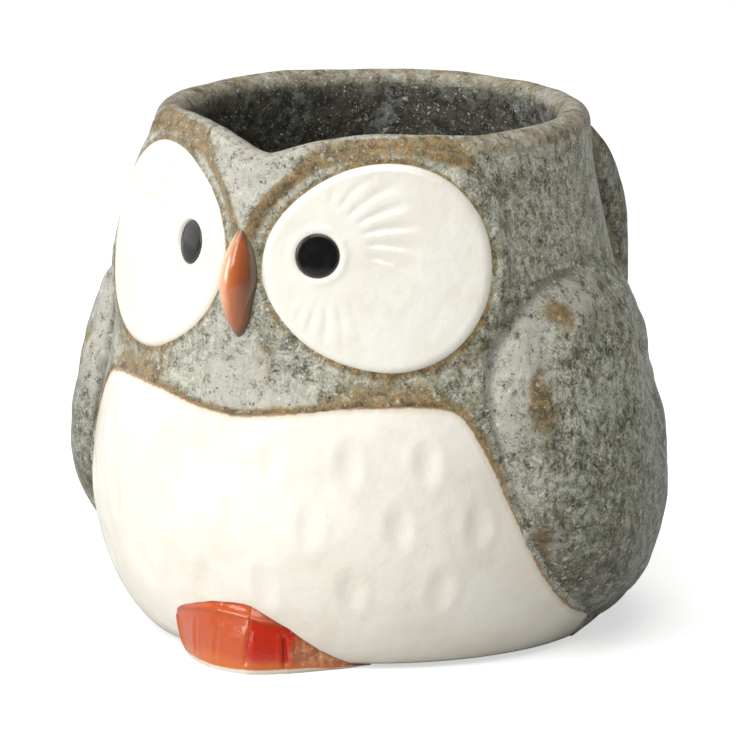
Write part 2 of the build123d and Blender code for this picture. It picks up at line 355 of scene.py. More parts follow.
# greys of the ash glaze from its darkest grain to its lightest, each at a place along its tone
GREYS = ((0.436, (0.036, 0.038, 0.017)), (0.465, (0.128, 0.133, 0.080)), (0.491, (0.262, 0.268, 0.188)),
         (0.521, (0.430, 0.434, 0.335)), (0.562, (0.72, 0.71, 0.60)))
OLIVE, OCHRE_FLECK = (0.20, 0.195, 0.065), (0.27, 0.205, 0.055)
BLUE_GREY, MILKY = (0.34, 0.375, 0.39), (0.56, 0.54, 0.465)
RUST_DEEP, RUST_PALE = (0.095, 0.056, 0.014), (0.42, 0.245, 0.066)
RUST_GREEN, RUST_GRAIN = (0.23, 0.20, 0.075), (0.05, 0.03, 0.010)
# painted shade: colours laid on where the painted-shade value is high, inside the cup and on shaded sides
SHADE_DEEP, SHADE_PALE, SHADE_HAZE = (0.016, 0.014, 0.009), (0.085, 0.078, 0.052), (0.24, 0.25, 0.235)
SPECK_WHITE, PINHOLE = (0.70, 0.70, 0.63), (0.030, 0.027, 0.016)


def make_ash_glaze():
    """Speckled ash glaze: grained greys with olive and blue-grey clouds, ochre rust where Rust is high,
    thick and milky where Pale is high, near black painted shade where the shade input is high, white
    specks and blackish pinholes."""
    g = bpy.data.node_groups.new("ash_glaze", "ShaderNodeTree")
    for name in ("Rust", "Pale", "Dark"):
        g.interface.new_socket(name, in_out="INPUT", socket_type="NodeSocketFloat")
    g.interface.new_socket("Vector", in_out="INPUT", socket_type="NodeSocketVector")
    g.interface.new_socket("Color", in_out="OUTPUT", socket_type="NodeSocketColor")
    g.interface.new_socket("Roughness", in_out="OUTPUT", socket_type="NodeSocketFloat")
    g.interface.new_socket("Height", in_out="OUTPUT", socket_type="NodeSocketFloat")
    src = g.nodes.new("NodeGroupInput").outputs
    v = in_mm(g, src["Vector"])
    tangle = put(g, "ShaderNodeTexNoise", Vector=v, Scale=1.1, Detail=2.0).outputs["Color"]
    mix = {"operation": "MULTIPLY_ADD"}
    tangle = put(g, "ShaderNodeVectorMath", mix, i0=tangle, i1=(1.3, 1.3, 1.3), i2=v).outputs[0]
    drip = put(g, "ShaderNodeVectorMath", {"operation": "MULTIPLY"}, i0=v, i1=(1.0, 1.0, 0.28)).outputs[0]
    clouds = noise(g, v, 0.075, 4, 0.6, 0.6)
    mottle = noise(g, v, 0.50, 7, 0.74, 0.4)
    grain = noise(g, v, 2.1, 4, 0.75)
    streak = noise(g, drip, 1.15, 4, 0.65)
    tone = calc(g, "ADD", times(g, clouds, 0.15), times(g, mottle, 0.43))
    tone = calc(g, "ADD", tone, times(g, grain, 0.30))
    tone = calc(g, "ADD", tone, times(g, streak, 0.12))
    ramp = put(g, "ShaderNodeValToRGB", Fac=tone)
    bar = ramp.color_ramp
    for stop, (at, colour) in zip(bar.elements, (GREYS[0], GREYS[-1])):
        stop.position, stop.color = at, (*colour, 1)
    for at, colour in GREYS[1:-1]:
        bar.elements.new(at).color = (*colour, 1)
    colour = ramp.outputs["Color"]
    olive = times(g, step_mask(g, noise(g, v, 0.21, 4, 0.6), 0.52, 0.68), 0.5)
    colour = blend(g, olive, colour, OLIVE)
    fleck = times(g, step_mask(g, noise(g, tangle, 0.85, 4, 0.6), 0.565, 0.64), 0.55)
    colour = blend(g, fleck, colour, OCHRE_FLECK)
    blue = times(g, step_mask(g, clouds, 0.53, 0.68), step_mask(g, mottle, 0.40, 0.60))
    colour = blend(g, times(g, blue, 0.45), colour, BLUE_GREY)
    thick = calc(g, "MULTIPLY", src["Pale"], step_mask(g, tone, 0.40, 0.49), clamp=True)
    thick = times(g, thick, step_mask(g, noise(g, v, 0.27, 5, 0.65), 0.27, 0.47))
    colour = blend(g, times(g, thick, 0.85), colour, MILKY)
    rusty = calc(g, "MULTIPLY_ADD", noise(g, v, 0.36, 6, 0.7), 1.3, src["Rust"])
    rusty = step_mask(g, ragged(g, rusty, grain, 0.8), 1.02, 1.50)
    rust = blend(g, step_mask(g, mottle, 0.36, 0.64), RUST_DEEP, RUST_PALE)
    rust = blend(g, step_mask(g, noise(g, v, 0.6, 3), 0.47, 0.66), rust, RUST_GREEN)
    rust = blend(g, times(g, step_mask(g, grain, 0.52, 0.36), 0.5), rust, RUST_GRAIN)
    colour = blend(g, times(g, rusty, 0.92), colour, rust)
    # painted shade: near black with a grey haze, blended in where the painted-shade input is high
    dark = blend(g, step_mask(g, mottle, 0.36, 0.60), SHADE_DEEP, SHADE_PALE)
    haze = times(g, step_mask(g, clouds, 0.47, 0.62), step_mask(g, mottle, 0.46, 0.60))
    dark = blend(g, times(g, haze, 0.85), dark, SHADE_HAZE)
    colour = blend(g, src["Dark"], colour, dark)
    crowd = step_mask(g, noise(g, v, 0.17, 3, 0.6), 0.40, 0.62)
    big = times(g, dots(g, tangle, 0.60, 0.30, 0.22), 0.75)
    small = times(g, dots(g, tangle, 1.15, 0.36, 0.40), calc(g, "MULTIPLY_ADD", crowd, 0.60, 0.30))
    fine = times(g, dots(g, tangle, 2.3, 0.40, 0.45), calc(g, "MULTIPLY_ADD", crowd, 0.55, 0.25))
    specks = calc(g, "MAXIMUM", calc(g, "MAXIMUM", big, small), fine)
    specks = times(g, specks, calc(g, "MULTIPLY_ADD", src["Dark"], -0.15, 1.0))
    specks = times(g, specks, calc(g, "MULTIPLY_ADD", src["Rust"], -0.35, 1.0))
    colour = blend(g, specks, colour, SPECK_WHITE)
    pits = dots(g, tangle, 1.25, 0.25, 0.26)
    colour = blend(g, times(g, pits, 0.72), colour, PINHOLE)
    rough = calc(g, "MULTIPLY_ADD", mottle, 0.32, 0.20)
    height = calc(g, "ADD", times(g, mottle, 0.60), times(g, grain, 0.26))
    height = calc(g, "ADD", height, times(g, streak, 0.20))
    height = calc(g, "ADD", height, times(g, specks, 0.15))
    height = calc(g, "SUBTRACT", height, times(g, pits, 0.28))
    put(g, "NodeGroupOutput", Color=colour, Roughness=rough, Height=height)
    return g


ASH = make_ash_glaze()


def start_material(name, roughness=0.4, coat=0.0, coat_roughness=0.1, ior=1.5):
    """Empty material with a Principled BSDF whose fixed values sit on its own sockets."""
    m = bpy.data.materials.new(name)
    m.use_nodes = True
    tree = m.node_tree
    shader = next(n for n in tree.nodes if n.type == "BSDF_PRINCIPLED")
    shader.inputs["Roughness"].default_value = roughness
    shader.inputs["Coat Weight"].default_value = coat
    shader.inputs["Coat Roughness"].default_value = coat_roughness
    shader.inputs["IOR"].default_value = ior
    return m, tree, shader


def bump(tree, shader, height, distance, strength=1.0):
    """Feed height, in units of distance metres, to the shader's normal."""
    b = put(tree, "ShaderNodeBump", Height=height, Strength=strength, Distance=distance)
    tree.links.new(b.outputs["Normal"], shader.inputs["Normal"])


def value(tree, name):
    """A painted value of the piece."""
    return put(tree, "ShaderNodeAttribute", {"attribute_name": name}).outputs["Fac"]


def ash_material(name):
    """Ash glaze that reads the piece's own rust, pale and dark values."""
    m, tree, shader = start_material(name, coat=0.22, coat_roughness=0.22)
    glaze = put(tree, "ShaderNodeGroup", {"node_tree": ASH}, Vector=spot(tree), Rust=value(tree, "rust"),
                Pale=value(tree, "pale"), Dark=value(tree, "dark"))
    tree.links.new(glaze.outputs["Color"], shader.inputs["Base Color"])
    tree.links.new(glaze.outputs["Roughness"], shader.inputs["Roughness"])
    bump(tree, shader, glaze.outputs["Height"], 0.0009)
    return m


def cup_rust(P):
    """Rust on the brow lines, a thin ring round each disc and a cloud under it, the bib's upper edge,
    a run beside the beak and the lip's crown."""
    a, z = round_cup(P)
    r = np.hypot(P[:, 0], P[:, 1])
    on_wall = r > inner_r(a, np.clip(z, FLOOR_Z, RIM_Z)) + 0.6 * LIP_T
    eye, t = off_eye(P)
    upper = ease((np.sin(t) + 0.15) / 0.5)
    inner_side = ease((0.55 - np.cos(t)) / 0.8)
    brow = 1.1 * bell((eye - 4.0 + 0.9 * inner_side) / 1.7) * upper
    brow *= 0.25 + 0.75 * ease((0.95 - np.cos(t)) / 0.7)
    ring = 0.75 * bell((eye - 0.2) / 0.6)
    edge = in_bib(a, z)
    seam = (0.85 * bell((edge + 0.55) / 0.75) + 0.45 * bell((edge + 1.8) / 1.6)) * ease((z - 20) / 20)
    below = 0.55 * bell((eye - 2.5) / 3.5) * ease((-np.sin(t) - 0.2) / 0.5) * ease((off_beak(a) - 14) / 10)
    side = 0.6 * bell((P[:, 0] - 5.2) / 2.3) * bell((z - 55) / 6) * (P[:, 1] < 0)
    crown = (0.42 + 0.16 * ease((off_beak(a) - 20) / 50)) * ease((z - 85) / 3)
    return np.clip(np.where(on_wall, brow + ring + seam + below + side, 0) + crown, 0, 1)


def cup_pale(P):
    """Thick milky glaze on the ridge between the eyes, under the beak and along the lip."""
    a, z = round_cup(P)
    d = off_beak(a)
    ridge = bell(d / 13) * (0.95 * bell((z - 48) / 7) + 0.8 * bell((z - 85) / 7))
    lip = 0.35 * ease((z - 87) / 2)
    return np.clip(ridge + lip + 0.26 + 0.2 * bell((a + 60) / 45), 0, 1)


def cup_painted_shade(P):
    """Painted shade: 1 on the inner wall and floor, the same glaze as outside but in shadow, fading out
    over the lip; a little low on the back.
    """
    a, z = round_cup(P)
    r = np.hypot(P[:, 0], P[:, 1])
    depth = inner_r(a, np.clip(z, FLOOR_Z, RIM_Z)) + 2.4 - r
    low_back = 0.18 * ease((off_beak(a) - 60) / 40) * ease((60 - z) / 50)
    return np.maximum(np.where(z > FLOOR_Z - 1.5, ease(depth / 1.2), 0) * ease((91 - z) / 5), low_back)


paint(cup, "rust", cup_rust)
paint(cup, "pale", cup_pale)
paint(cup, "dark", cup_painted_shade)
cup.data.materials.append(ash_material("ash_glaze_cup"))
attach(cup, "root")
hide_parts("cup_wall")

# ==================================================================== bib
# The owl's white front: cream slip glaze let into the belly, smooth, with short upright thumb
# dents pressed in before firing. The grey glaze laps over its edge and leaves a thin rusty line.
DENTS = ((37.3, (9.0, 25.0, 41.0)), (26.4, (0.0, 17.0, 35.0, 51.5)), (15.4, (7.0, 25.5, 44.0)))
DENT_W, DENT_H, DENT_D = 1.7, 2.9, 0.36
BIB_PROUD, BIB_T = 0.08, 0.6


def bib_grid():
    """Regular grid in angle and height just proud of the cup, dented, sinking away past its outline."""
    a, z = np.meshgrid(np.linspace(-98, 98, 372), np.linspace(1.0, 48.4, 131))
    h = BIB_PROUD - 0.9 * ease((-in_bib(a, z) - 1.0) / 1.2)
    for row, angles in DENTS:
        for at in sorted({s * d for d in angles for s in (-1, 1)}):
            x, y = np.radians(a - at) * outer_r(at, row), z - row
            well = (x / DENT_W) ** 2 + (y / DENT_H) ** 2
            h -= DENT_D * np.exp(-(well**1.3)) - 0.10 * bell((np.sqrt(well) - 1.7) / 0.6)
    P = on_cup(a, outer_r(a, z), z)
    return lift(P, h + 0.05 * lattice(P, 9, 6), wrap=False)


bib_piece = skin("bib", bib_grid(), wrap=False)
solid = bib_piece.modifiers.new("slip", "SOLIDIFY")
solid.thickness, solid.offset = BIB_T * MM, -1.0


def make_slip_tone():
    """Faint tone of a hand-dipped light glaze: soft clouds, a few iron specks and a rusty margin where
    Edge (mm inside the border) is small."""
    g = bpy.data.node_groups.new("slip_tone", "ShaderNodeTree")
    g.interface.new_socket("Vector", in_out="INPUT", socket_type="NodeSocketVector")
    g.interface.new_socket("Edge", in_out="INPUT", socket_type="NodeSocketFloat")
    for name in ("Light", "Deep"):
        g.interface.new_socket(name, in_out="INPUT", socket_type="NodeSocketColor")
    g.interface.new_socket("Color", in_out="OUTPUT", socket_type="NodeSocketColor")
    g.interface.new_socket("Roughness", in_out="OUTPUT", socket_type="NodeSocketFloat")
    g.interface.new_socket("Height", in_out="OUTPUT", socket_type="NodeSocketFloat")
    src = g.nodes.new("NodeGroupInput").outputs
    v = in_mm(g, src["Vector"])
    cloud = noise(g, v, 0.09, 4, 0.5)
    colour = blend(g, step_mask(g, cloud, 0.35, 0.68), src["Light"], src["Deep"])
    iron = dots(g, v, 0.28, 0.07, 0.22)
    colour = blend(g, times(g, iron, 0.45), colour, (0.34, 0.25, 0.15))
    near = ragged(g, src["Edge"], noise(g, v, 0.8, 3), 0.7)
    colour = blend(g, times(g, step_mask(g, near, 1.3, 0.35), 0.45), colour, (0.62, 0.50, 0.33))
    colour = blend(g, times(g, step_mask(g, near, 0.45, 0.0), 0.9), colour, (0.26, 0.135, 0.045))
    rough = calc(g, "MULTIPLY_ADD", noise(g, v, 0.25, 3), 0.14, 0.24)
    height = times(g, noise(g, v, 0.35, 2), 0.8)
    height = calc(g, "ADD", height, times(g, noise(g, v, 2.2, 2), 0.1))
    put(g, "NodeGroupOutput", Color=colour, Roughness=rough, Height=height)
    return g


SLIP = make_slip_tone()


def slip_material(name, light, deep):
    """Smooth satin slip glaze in two close tones, reading the piece's own edge distance."""
    m, tree, shader = start_material(name, coat=0.35, coat_roughness=0.12)
    tone = put(tree, "ShaderNodeGroup", {"node_tree": SLIP}, Vector=spot(tree), Edge=value(tree, "edge"))
    tone.inputs["Light"].default_value, tone.inputs["Deep"].default_value = (*light, 1), (*deep, 1)
    tree.links.new(tone.outputs["Color"], shader.inputs["Base Color"])
    tree.links.new(tone.outputs["Roughness"], shader.inputs["Roughness"])
    bump(tree, shader, tone.outputs["Height"], 0.00025)
    return m


paint(bib_piece, "edge", lambda P: in_bib(*round_cup(P)) + 0.35)
bib_piece.data.materials.append(slip_material("cream_slip", (0.86, 0.825, 0.735), (0.80, 0.755, 0.65)))
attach(bib_piece, "root")
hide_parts("belly_panel")

# ==================================================================== wings
# Two thick pads of clay luted to the sides as folded wings. Each leans forward, is thickest along
# its front edge and thins towards the back; wet fingers left it lumpy. Same ash glaze as the cup.
WING_A, WING_Z, WING_LEAN = 102.0, 34.5, 0.35
WING_DA, WING_DZ, WING_T = 44.0, 31.5, 5.2
WING_SQUARE, WING_SOFT = 2 / 2.4, 0.45


def bulge(c, power):
    """Signed power of a sine or cosine: under 1 it squares a round loop, over 1 it sharpens it."""
    return np.sign(c) * np.abs(c) ** power


def wing_grid(side):
    """Rings of a rounded square pad growing from its middle; its height over the cup is a dome that
    falls steeply at the rim and meets the cup in a small hollow curve, then tucks under."""
    rho = np.concatenate([np.linspace(0.02, 0.9, 76), np.linspace(0.906, 1.07, 44)])[:, None]
    t = np.linspace(0, 2 * pi, 360, endpoint=False)[None, :]
    x, y = rho * bulge(np.cos(t), WING_SQUARE), rho * bulge(np.sin(t), WING_SQUARE)
    z = WING_Z + WING_DZ * y
    a = WING_A - WING_LEAN * (z - WING_Z) + WING_DA * x
    full = WING_T * (1 - 0.62 * ease((a - 66) / 66))
    dome = np.where(rho < 1, full * np.clip(1 - rho**7, 0, 1) ** 0.72, -40 * (rho - 1))
    meet = np.log(np.exp(np.clip(dome / WING_SOFT, -30, 30)) + np.exp(-0.2 / WING_SOFT))
    h = WING_SOFT * meet - 0.9 * ease((rho - 1.03) / 0.04)
    P = on_cup(side * a, outer_r(a, z) + h, np.maximum(z, UNDER_Z + 0.6))
    bumps = 0.58 * lattice(P, 8.0, 11) + 0.34 * lattice(P, 3.4, 12)
    return lift(P, -side * bumps * ease((1.03 - rho) / 0.12))


WING_SPECKLE = 0.16


def wing_rust(P):
    """Rust where the glaze broke over the front edge, in a patch near the top and one half way down."""
    a, z = round_cup(P)
    d = off_beak(a)
    patch = 0.95 * bell((d - 73) / 4) * bell((z - 60.5) / 2.6)
    streak = 0.95 * bell((d - 64.5) / 3) * bell((z - 46.5) / 6)
    low = 0.6 * bell((d - 65) / 4) * bell((z - 22) / 6)
    return np.clip(patch + streak + low + WING_SPECKLE, 0, 1)


def wing_pale(P):
    """Milky glaze gathered along the upper front edge, and over the shoulder milky glaze that is partly a
    painted highlight where the top of the pad catches the light.
    """
    a, z = round_cup(P)
    d = off_beak(a)
    ridge = 1.0 * bell((d - 67 + 0.5 * (64 - z)) / 6) * ease((z - 34) / 10)
    # the last bell, over the shoulder, is partly a painted highlight on the top of the pad
    return np.clip(ridge + 0.5 * bell((d - 58) / 6) + 1.0 * bell((d - 78) / 16) * bell((z - 62) / 5), 0, 1)


def wing_painted_shade(P):
    """Painted shade: darker low down and in the crease where the pad's front edge meets the cup, and a
    little all over.
    """
    a, z = round_cup(P)
    proud = np.hypot(P[:, 0], P[:, 1]) - outer_r(a, z)
    crease = 0.55 * ease((1.5 - proud) / 1.4) * ease((z - 24) / 16) * ease((100 - off_beak(a)) / 20)
    return np.clip(0.10 + 0.50 * ease((54 - z) / 44) + crease, 0, 0.75)


WING_GLAZE = ash_material("ash_glaze_wing")
for side, name in ((1, "left_wing"), (-1, "right_wing")):
    wing = skin(name + "_pad", wing_grid(side), caps=(True, False))
    paint(wing, "rust", wing_rust)
    paint(wing, "pale", wing_pale)
    paint(wing, "dark", wing_painted_shade)
    wing.data.materials.append(WING_GLAZE)
    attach(wing, "root")
    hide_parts(name)

# ==================================================================== eye discs
# Two egg-shaped pads of white slip, narrow end to the beak, set proud in their sockets. A raised
# collar holds the pupil and shallow feather strokes fan out from it. Rounded edge, rusty outline.
PUPIL_R, PUPIL_IN, PUPIL_UP = 3.7, 9.5, 2.2
COLLAR, SEAT = 0.22, 0.9
DISC_EDGE, STROKES, STROKE_D = 1.5, 27, 0.26


def disc_grid():
    """Rings round the pupil that grow into the disc's outline, then roll over its edge and drop
    into the wall. Height off the eye plane: a sideways bow, a collar, a sunk seat and strokes."""
    t = np.linspace(0, 2 * pi, 300, endpoint=False)[None, :]
    e = np.concatenate([np.linspace(0.5, 3.3, 5), np.linspace(3.4, 6.0, 20)])[:, None]
    near = np.stack([-PUPIL_IN + e * np.cos(t), PUPIL_UP + e * np.sin(t)], -1)
    rim = np.stack([EYE_W * np.cos(t) + EYE_OFF, EYE_H * np.sin(t) * (1 + EYE_EGG * np.cos(t))], -1)
    s = np.linspace(0, 1, 86)[1:, None, None]
    far = near[-1] + s * (rim - near[-1])
    flat = np.concatenate([near, far])
    x, y = flat[..., 0], flat[..., 1]
    dx, dy = x + PUPIL_IN, y - PUPIL_UP
    e, turn = np.hypot(dx, dy), np.degrees(np.arctan2(dy, dx))
    h = -EYE_BOW * (x / EYE_W) ** 2
    h += COLLAR * bell((e - 4.5) / 0.75) - SEAT * (1 - ease((e - 3.45) / 0.5))
    fan = bell((turn - 28) / 44) + 0.6 * bell((turn + 92) / 26) + 0.08
    reach = ease((e - 7.5) / 3.0) * ease((19.5 - e) / 5)
    stroke = 0.5 + 0.5 * np.cos(np.radians(turn + 1.1 * (e - 8)) * STROKES)
    egg_h = EYE_H * (1 + EYE_EGG * np.cos(np.arctan2(y, x)))
    gap = (1 - np.hypot((x - EYE_OFF) / EYE_W, y / egg_h)) * EYE_H
    h -= STROKE_D * fan * reach * stroke**1.6 * ease((gap - 1.4) / 2.2)
    u = np.clip(1 - gap / DISC_EDGE, 0, 1)
    h -= DISC_EDGE * (1 - np.sqrt(np.clip(1 - (0.98 * u) ** 2, 0, 1)))
    drop = np.linspace(0.4, 5.5, 9)[:, None]
    x, y = np.vstack([x, x[-1] * (1 + 0 * drop)]), np.vstack([y, y[-1] * (1 + 0 * drop)])
    h = np.vstack([h, h[-1] - drop])
    return x, y, h


def stand_disc(x, y, h, side):
    """Carry flat disc coordinates onto the eye plane; side -1 mirrors them to the owl's right."""
    P = EYE_C + x[..., None] * EYE_X + y[..., None] * EYE_Y + h[..., None] * EYE_N
    return P * np.array([side, 1, 1])


def disc_edge(P):
    """Distance in from the disc's outline, falling below zero down its side wall."""
    x, _, out = on_eye(P)
    deep = -out - EYE_BOW * (x / EYE_W) ** 2
    return np.minimum(-off_eye(P)[0] + 0.9, 2.0) - ease((deep - 1.2) / 1.2) * 2


WHITE_SLIP = slip_material("white_slip", (0.85, 0.825, 0.745), (0.79, 0.755, 0.665))
for side, name in ((1, "left_eye_disc"), (-1, "right_eye_disc")):
    disc = skin(name + "_pad", stand_disc(*disc_grid(), side), caps=(True, False))
    paint(disc, "edge", disc_edge)
    disc.data.materials.append(WHITE_SLIP)
    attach(disc, "root")
    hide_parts(name)

# ==================================================================== pupils
# A pool of glossy black glaze in each collar, level with it and gently domed.


def pupil_grid():
    """Rings of a low dome that turns down at its rim into the seat."""
    t = np.linspace(0, 2 * pi, 96, endpoint=False)[None, :]
    e = PUPIL_R * np.concatenate([np.linspace(0.06, 0.9, 14), [0.94, 0.97, 0.99, 1.0, 1.0, 1.0]])[:, None]
    drop = np.concatenate([np.zeros(15), [0.03, 0.09, 0.22, 0.5, 1.0]])[:, None]
    h = 0.10 - 0.32 * (e / PUPIL_R) ** 2 - drop
    x, y = -PUPIL_IN + e * np.cos(t), PUPIL_UP + e * np.sin(t)
    return x, y, h - EYE_BOW * (PUPIL_IN / EYE_W) ** 2 + 0 * t


def pupil_rim(P):
    """Distance from the pupil's middle as a share of its radius."""
    x, y, _ = on_eye(P)
    return np.hypot(x + PUPIL_IN, y - PUPIL_UP) / PUPIL_R


BLACK, tree, shader = start_material("black_glaze", roughness=0.08)
cloud = noise(tree, spot(tree), 420, 4, 0.6)
fringe = step_mask(tree, value(tree, "rim"), 0.82, 1.0)
black = blend(tree, step_mask(tree, cloud, 0.45, 0.7), (0.003, 0.003, 0.003), (0.008, 0.007, 0.006))
tree.links.new(blend(tree, fringe, black, (0.055, 0.043, 0.032)), shader.inputs["Base Color"])
tree.links.new(calc(tree, "MULTIPLY_ADD", cloud, 0.15, 0.06), shader.inputs["Roughness"])
bump(tree, shader, cloud, 0.00005)
for side, name in ((1, "left_pupil"), (-1, "right_pupil")):
    pool = skin(name + "_pool", stand_disc(*pupil_grid(), side), caps=(True, False))
    paint(pool, "rim", pupil_rim)
    pool.data.materials.append(BLACK)
    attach(pool, "root")
    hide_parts(name)

# ==================================================================== beak
# A small almond of clay pressed on between the eyes, with a soft ridge down its middle. Glossy
# amber glaze, orange where thick and olive brown where it thins to the edges, with a painted
# highlight on the upper ridge and painted shade down its flank on the owl's left.
BEAK_W, BEAK_LEN, BEAK_Z, BEAK_OUT, BEAK_IN = 3.4, 22.2, 66.4, 5.0, 2.2
AMBER_THIN, AMBER_MID, AMBER_THICK = (0.090, 0.052, 0.018), (0.44, 0.098, 0.024), (0.54, 0.140, 0.036)
# painted shade for the beak's left flank and a painted highlight for its upper ridge
AMBER_SHADE, AMBER_HIGHLIGHT = (0.085, 0.040, 0.016), (0.84, 0.46, 0.26)
AMBER_TIP, AMBER_FLECK = (0.11, 0.062, 0.026), (0.20, 0.05, 0.015)


def beak_grid():
    """Loops up the beak: half width follows a pointed arch, and each loop is a rounded wedge whose
    depth is the 1.28 power of the cosine round it."""
    s = np.linspace(-0.985, 0.985, 120)[:, None]
    t = np.linspace(0, 2 * pi, 96, endpoint=False)[None, :]
    w = (1 - np.abs(s) ** 1.9) ** 0.92
    x = BEAK_W * w * bulge(np.sin(t), 0.95)
    deep = (BEAK_OUT + BEAK_IN) * w * bulge(np.cos(t), 1.28)
    y = -(outer_r(0.0, BEAK_Z + 0 * s) - BEAK_IN) - deep
    return np.stack(np.broadcast_arrays(x, y, BEAK_Z + 0.5 * BEAK_LEN * s), -1)


beak = skin("beak_almond", beak_grid(), caps=(True, True))
paint(beak, "along", lambda P: (P[:, 2] - BEAK_Z) / (0.5 * BEAK_LEN))
paint(beak, "across", lambda P: P[:, 0] / BEAK_W)
paint(beak, "out", lambda P: (-P[:, 1] - outer_r(0.0, P[:, 2])) / BEAK_OUT)
AMBER, tree, shader = start_material("amber_glaze", coat=1.0, coat_roughness=0.04)
here = spot(tree)
cloud = noise(tree, here, 300, 5, 0.6)
out = ragged(tree, value(tree, "out"), cloud, 0.5)
amber = blend(tree, step_mask(tree, out, 0.02, 0.40), AMBER_THIN, AMBER_MID)
amber = blend(tree, step_mask(tree, out, 0.45, 0.95), amber, AMBER_THICK)
turned = ragged(tree, value(tree, "across"), cloud, 0.5)
# painted shade down the beak's flank on the owl's left, turned away from the key light
amber = blend(tree, times(tree, step_mask(tree, turned, 0.30, 1.0), 0.85), amber, AMBER_SHADE)
along_it = value(tree, "along")
# painted highlight: a pale peach streak on the upper part of the beak's ridge
ridge = times(tree, step_mask(tree, turned, 0.28, -0.12), step_mask(tree, along_it, -0.65, -0.15))
amber = blend(tree, times(tree, ridge, 0.75), amber, AMBER_HIGHLIGHT)
tip = calc(tree, "ABSOLUTE", along_it)
amber = blend(tree, step_mask(tree, tip, 0.62, 0.97), amber, AMBER_TIP)
flecks = times(tree, step_mask(tree, noise(tree, here, 1500, 3), 0.60, 0.72), 0.5)
amber = blend(tree, flecks, amber, AMBER_FLECK)
tree.links.new(amber, shader.inputs["Base Color"])
tree.links.new(calc(tree, "MULTIPLY_ADD", cloud, 0.2, 0.12), shader.inputs["Roughness"])
bump(tree, shader, cloud, 0.00012)
beak.data.materials.append(AMBER)
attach(beak, "root")
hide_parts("beak")

# ==================================================================== feet
# One crescent ledge of clay under the bib, parted in the middle and nicked into toes. Thick glossy
# orange-red glaze, thinner and browner at the ends, wiped off along the bottom edge.

# corners between the toes: across, forward and the height of the toe's face there; then how far the
# face leans back at each, as a share of its height, and where along the corners the two feet part
TOES = np.array([(-16.6, 30.5, 4.5), (-15.2, 35.9, 7.8), (-12.7, 40.2, 9.3), (-8.1, 44.3, 10.4),
                 (-3.3, 46.9, 10.7), (3.1, 47.5, 10.1), (8.2, 43.9, 8.3), (12.0, 39.2, 6.2),
                 (15.0, 35.2, 3.8), (17.0, 31.0, 1.0)])
TOE_LEAN = (-0.30, -0.28, -0.18, -0.02, 0.10, 0.14, 0.12, 0.08, 0.06, 0.05)
MIDDLE = 4 + 3.6 / 6.7
# grooves: the corner each stands at, its tilt and its depth
GROOVES = ((2, 0.0, 0.55), (3, 0.05, 0.2), (4, 0.05, 0.25), (5, 0.16, 0.3), (6, 0.0, 0.6), (7, 0.0, 0.12))
TOE_STEP, LEDGE, LEDGE_RISE, ROLL = 6.5, 5.5, 2.5, 1.0
ORANGE, SCARLET = (0.50, 0.080, 0.018), (0.46, 0.020, 0.004)
ORANGE_END, ORANGE_LOW = (0.52, 0.090, 0.020), (0.60, 0.160, 0.032)
BROWN_DEEP, BROWN_PALE, BROWN_SPECK = (0.36, 0.115, 0.040), (0.53, 0.235, 0.110), (0.66, 0.45, 0.28)
BAND_NEAR, BAND_FAR = (0.52, 0.085, 0.014), (0.28, 0.036, 0.010)
CREST_LINE, BELLY_LINE, WIPED = (0.16, 0.030, 0.010), (0.16, 0.040, 0.014), (0.80, 0.74, 0.62)


def foot_grid(side):
    """The corners joined nearly half straight and the rest curved. Rows go up a face that leans back,
    over a rounded edge and a low roll, smooth along its length, into the belly; short grooves part the
    toes."""
    smooth = along(TOES, 901)
    s = np.linspace(0, len(TOES) - 1 - 1e-9, 901)
    straight = np.stack([np.interp(s, range(len(TOES)), TOES[:, k]) for k in range(3)], -1)
    mine = np.linspace(MIDDLE, s[-1], 150) if side > 0 else np.linspace(0, MIDDLE, 150)
    lines, steps = [], []
    for share in (0.45, 0.0):
        line = share * straight + (1 - share) * smooth
        step = np.gradient(line[:, :2], axis=0)
        step /= np.linalg.norm(step, axis=1, keepdims=True)
        lines.append(np.stack([np.interp(mine, s, line[:, k]) for k in range(3)], -1))
        steps.append(np.stack([np.interp(mine, s, step[:, k]) for k in range(2)], -1))
    face = lines[0][:, 2]
    up = np.linspace(0, 1, 40)[:, None]
    lean = np.interp(mine, range(len(TOES)), TOE_LEAN)
    out = 0.6 - lean * up * face + 0.30 * np.sin(pi * up) - 0.4 * bell(up / 0.06)
    z = up * (face - 0.7)
    turn = np.linspace(0, pi / 2 - 0.55, 8)[1:, None]
    out = np.vstack([out, out[-1] - 0.9 * (1 - np.cos(turn))])
    z = np.vstack([z, face - 0.7 + 0.8 * np.sin(turn)])
    back = np.linspace(0, 1, 22)[1:, None]
    roll = ROLL * np.sin(pi * np.clip(back * 2.2, 0, 1)) ** 0.8
    out = np.vstack([out, out[-1:] - LEDGE * back])
    z = np.vstack([z, z[-1:] + (LEDGE_RISE * back + roll) * np.clip(face / 8, 0.3, 1)])
    share = z / np.maximum(face, 1)
    for k, tilt, deep in GROOVES:
        off = (mine - k - tilt * (share - 0.5)) * TOE_STEP
        tall = ease((share - 0.10) / 0.15) * ease((0.82 - share) / 0.12)
        out = out - deep * bell(off / 0.42) * tall + 0.3 * deep * bell((np.abs(off) - 1.0) / 0.45) * tall
    soft = np.concatenate([np.zeros(34), np.linspace(0, 1, 20), np.ones(len(z) - 54)])[:, None]
    x, y = [(lines[0][:, k] * (1 - soft) + lines[1][:, k] * soft) for k in (0, 1)]
    sx, sy = [(steps[0][:, k] * (1 - soft) + steps[1][:, k] * soft) for k in (0, 1)]
    return np.stack(np.broadcast_arrays(x - sy * out, -(y + sx * out), z), -1)


def foot_high(P):
    """Height as a share of the toe face's height at that point."""
    return P[:, 2] / np.maximum(np.interp(P[:, 0], TOES[:, 0], TOES[:, 2]), 1.5)


def foot_proud(P):
    """Distance outside the belly."""
    a, z = round_cup(P)
    return np.hypot(P[:, 0], P[:, 1]) - outer_r(a, z)


